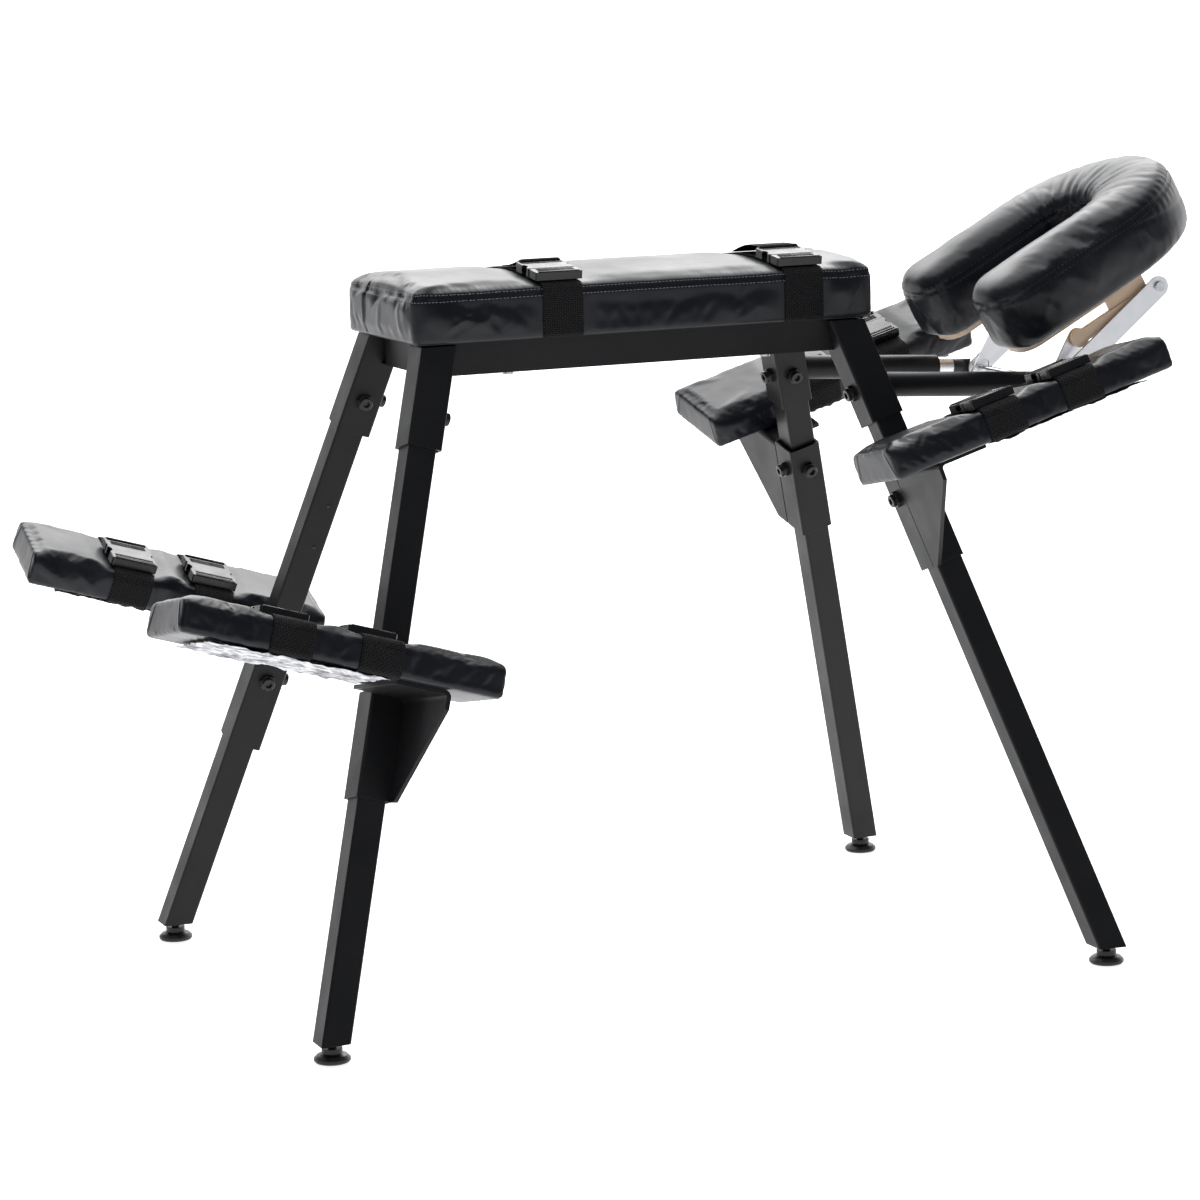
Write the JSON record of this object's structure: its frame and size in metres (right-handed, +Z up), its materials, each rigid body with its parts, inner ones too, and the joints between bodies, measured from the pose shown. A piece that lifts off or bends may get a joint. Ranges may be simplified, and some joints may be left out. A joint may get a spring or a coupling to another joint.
{
  "type": "padded kneeling support bench",
  "caption": "Padded kneeling bench on splayed telescoping legs, with strapped knee and arm rests on sliding sleeves and a tilting horseshoe face cradle.",
  "frame": {"origin": "middle of the whole bench's outline on the floor, under the glides", "axes": "+X along the bench towards the face cradle, +Z up, -Y towards the viewer of the source view"},
  "size_m": [1.479, 0.7616, 0.9673],
  "materials": {
    "black_frame": "satin powder coat",
    "black_screws": "semi-gloss black oxide",
    "leatherette": "satin, fine grain",
    "board": "raw plywood",
    "zinc": "bright zinc plated",
    "webbing": "coarse woven",
    "buckle": "semi-gloss moulded",
    "foot_plastic": "moulded",
    "post": "brushed",
    "hub": "moulded",
    "aluminium": "satin",
    "beige": "satin beige",
    "pin": "polished"
  },
  "bodies": {
    "frame": {"frame_rails": "black_frame", "leg_sockets": "black_frame", "socket_clamps": "black_screws", "receiver_tubes": "black_frame", "seat_board": "board", "seat_pad": "leatherette", "seat_bolts": "zinc", "seat_straps": "webbing", "seat_buckles": "buckle"},
    "seat_plug_1": {"seat_plug_1": "buckle"},
    "seat_plug_2": {"seat_plug_2": "buckle"},
    "knee_near_leg": {"knee_near_leg": "black_frame", "knee_near_insert": "foot_plastic"},
    "knee_near_glide": {"knee_near_glide": "foot_plastic"},
    "knee_near_rest": {"knee_near_carrier": "black_frame", "knee_near_clamps": "black_screws", "knee_near_pad": "leatherette", "knee_near_straps": "webbing", "knee_near_buckles": "buckle"},
    "knee_near_plug_1": {"knee_near_plug_1": "buckle"},
    "knee_near_plug_2": {"knee_near_plug_2": "buckle"},
    "knee_far_leg": {"knee_far_leg": "black_frame", "knee_far_insert": "foot_plastic"},
    "knee_far_glide": {"knee_far_glide": "foot_plastic"},
    "knee_far_rest": {"knee_far_carrier": "black_frame", "knee_far_clamps": "black_screws", "knee_far_pad": "leatherette", "knee_far_straps": "webbing", "knee_far_buckles": "buckle"},
    "knee_far_plug_1": {"knee_far_plug_1": "buckle"},
    "knee_far_plug_2": {"knee_far_plug_2": "buckle"},
    "arm_near_leg": {"arm_near_leg": "black_frame", "arm_near_insert": "foot_plastic"},
    "arm_near_glide": {"arm_near_glide": "foot_plastic"},
    "arm_near_rest": {"arm_near_carrier": "black_frame", "arm_near_clamps": "black_screws", "arm_near_pad": "leatherette", "arm_near_straps": "webbing", "arm_near_buckles": "buckle"},
    "arm_near_plug_1": {"arm_near_plug_1": "buckle"},
    "arm_near_plug_2": {"arm_near_plug_2": "buckle"},
    "arm_far_leg": {"arm_far_leg": "black_frame", "arm_far_insert": "foot_plastic"},
    "arm_far_glide": {"arm_far_glide": "foot_plastic"},
    "arm_far_rest": {"arm_far_carrier": "black_frame", "arm_far_clamps": "black_screws", "arm_far_pad": "leatherette", "arm_far_straps": "webbing", "arm_far_buckles": "buckle"},
    "arm_far_plug_1": {"arm_far_plug_1": "buckle"},
    "arm_far_plug_2": {"arm_far_plug_2": "buckle"},
    "cradle_base": {"cradle_posts": "post", "cradle_hubs": "hub", "cradle_axle": "pin"},
    "cradle_link": {"cradle_links": "aluminium", "cradle_pins": "pin"},
    "cradle_head": {"cradle_platform": "beige", "cradle_rivets": "pin", "face_cushion": "leatherette"},
    "cradle_strut": {"cradle_struts": "aluminium"}
  },
  "joints": [
    {"name": "seat_plug_1_slide", "type": "slide", "parent": "frame", "child": "seat_plug_1", "axis": [0, -0.9922, -0.1247], "range_m": [0, 0.022]},
    {"name": "seat_plug_2_slide", "type": "slide", "parent": "frame", "child": "seat_plug_2", "axis": [0, -0.9922, -0.1247], "range_m": [0, 0.022]},
    {"name": "knee_near_leg_height", "type": "slide", "parent": "frame", "child": "knee_near_leg", "axis": [0.2767, 0.2683, 0.9227], "range_m": [-0.02, 0.03]},
    {"name": "knee_near_glide_level", "type": "slide", "parent": "knee_near_leg", "child": "knee_near_glide", "axis": [0, 0, 1], "range_m": [-0.015, 0.005]},
    {"name": "knee_near_rest_height", "type": "slide", "parent": "knee_near_leg", "child": "knee_near_rest", "axis": [0.2767, 0.2683, 0.9227], "range_m": [-0.2, 0.24]},
    {"name": "knee_near_plug_1_slide", "type": "slide", "parent": "knee_near_rest", "child": "knee_near_plug_1", "axis": [0.06, -0.9779, 0.2002], "range_m": [0, 0.022]},
    {"name": "knee_near_plug_2_slide", "type": "slide", "parent": "knee_near_rest", "child": "knee_near_plug_2", "axis": [0.06, -0.9779, 0.2002], "range_m": [0, 0.022]},
    {"name": "knee_far_leg_height", "type": "slide", "parent": "frame", "child": "knee_far_leg", "axis": [0.2767, -0.2683, 0.9227], "range_m": [-0.02, 0.03]},
    {"name": "knee_far_glide_level", "type": "slide", "parent": "knee_far_leg", "child": "knee_far_glide", "axis": [0, 0, 1], "range_m": [-0.015, 0.005]},
    {"name": "knee_far_rest_height", "type": "slide", "parent": "knee_far_leg", "child": "knee_far_rest", "axis": [0.2767, -0.2683, 0.9227], "range_m": [-0.2, 0.24]},
    {"name": "knee_far_plug_1_slide", "type": "slide", "parent": "knee_far_rest", "child": "knee_far_plug_1", "axis": [0.0771, 0.9633, 0.257], "range_m": [0, 0.022]},
    {"name": "knee_far_plug_2_slide", "type": "slide", "parent": "knee_far_rest", "child": "knee_far_plug_2", "axis": [0.0771, 0.9633, 0.257], "range_m": [0, 0.022]},
    {"name": "arm_near_leg_height", "type": "slide", "parent": "frame", "child": "arm_near_leg", "axis": [-0.2726, 0.2957, 0.9155], "range_m": [-0.02, 0.03]},
    {"name": "arm_near_glide_level", "type": "slide", "parent": "arm_near_leg", "child": "arm_near_glide", "axis": [0, 0, 1], "range_m": [-0.015, 0.005]},
    {"name": "arm_near_rest_height", "type": "slide", "parent": "arm_near_leg", "child": "arm_near_rest", "axis": [-0.2726, 0.2957, 0.9155], "range_m": [-0.2, 0.025]},
    {"name": "arm_near_plug_1_slide", "type": "slide", "parent": "arm_near_rest", "child": "arm_near_plug_1", "axis": [-0.0554, -0.9809, 0.1862], "range_m": [0, 0.022]},
    {"name": "arm_near_plug_2_slide", "type": "slide", "parent": "arm_near_rest", "child": "arm_near_plug_2", "axis": [-0.0554, -0.9809, 0.1862], "range_m": [0, 0.022]},
    {"name": "arm_far_leg_height", "type": "slide", "parent": "frame", "child": "arm_far_leg", "axis": [-0.2726, -0.2957, 0.9155], "range_m": [-0.02, 0.03]},
    {"name": "arm_far_glide_level", "type": "slide", "parent": "arm_far_leg", "child": "arm_far_glide", "axis": [0, 0, 1], "range_m": [-0.015, 0.005]},
    {"name": "arm_far_rest_height", "type": "slide", "parent": "arm_far_leg", "child": "arm_far_rest", "axis": [-0.2726, -0.2957, 0.9155], "range_m": [-0.2, 0.025]},
    {"name": "arm_far_plug_1_slide", "type": "slide", "parent": "arm_far_rest", "child": "arm_far_plug_1", "axis": [-0.0844, 0.9553, 0.2834], "range_m": [0, 0.022]},
    {"name": "arm_far_plug_2_slide", "type": "slide", "parent": "arm_far_rest", "child": "arm_far_plug_2", "axis": [-0.0844, 0.9553, 0.2834], "range_m": [0, 0.022]},
    {"name": "cradle_reach", "type": "slide", "parent": "frame", "child": "cradle_base", "axis": [0.9981, 0, -0.061], "range_m": [-0.002, 0.12]},
    {"name": "cradle_height", "type": "hinge", "parent": "cradle_base", "child": "cradle_link", "pos_m": [0.5171, 0, 0.6937], "axis": [0, 1, 0], "range_deg": [-6, 25]},
    {"name": "cradle_tilt", "type": "hinge", "parent": "cradle_link", "child": "cradle_head", "pos_m": [0.6581, 0, 0.808], "axis": [0, 1, 0], "range_deg": [-5, 5.5]},
    {"name": "cradle_strut_turn", "type": "hinge", "parent": "cradle_head", "child": "cradle_strut", "pos_m": [0.5471, 0, 0.7488], "axis": [0, 1, 0], "range_deg": [-16, 16]}
  ],
  "couplings": [
    {"joint": "cradle_strut_turn", "follows": "cradle_tilt", "ratio": -2.77}
  ]
}
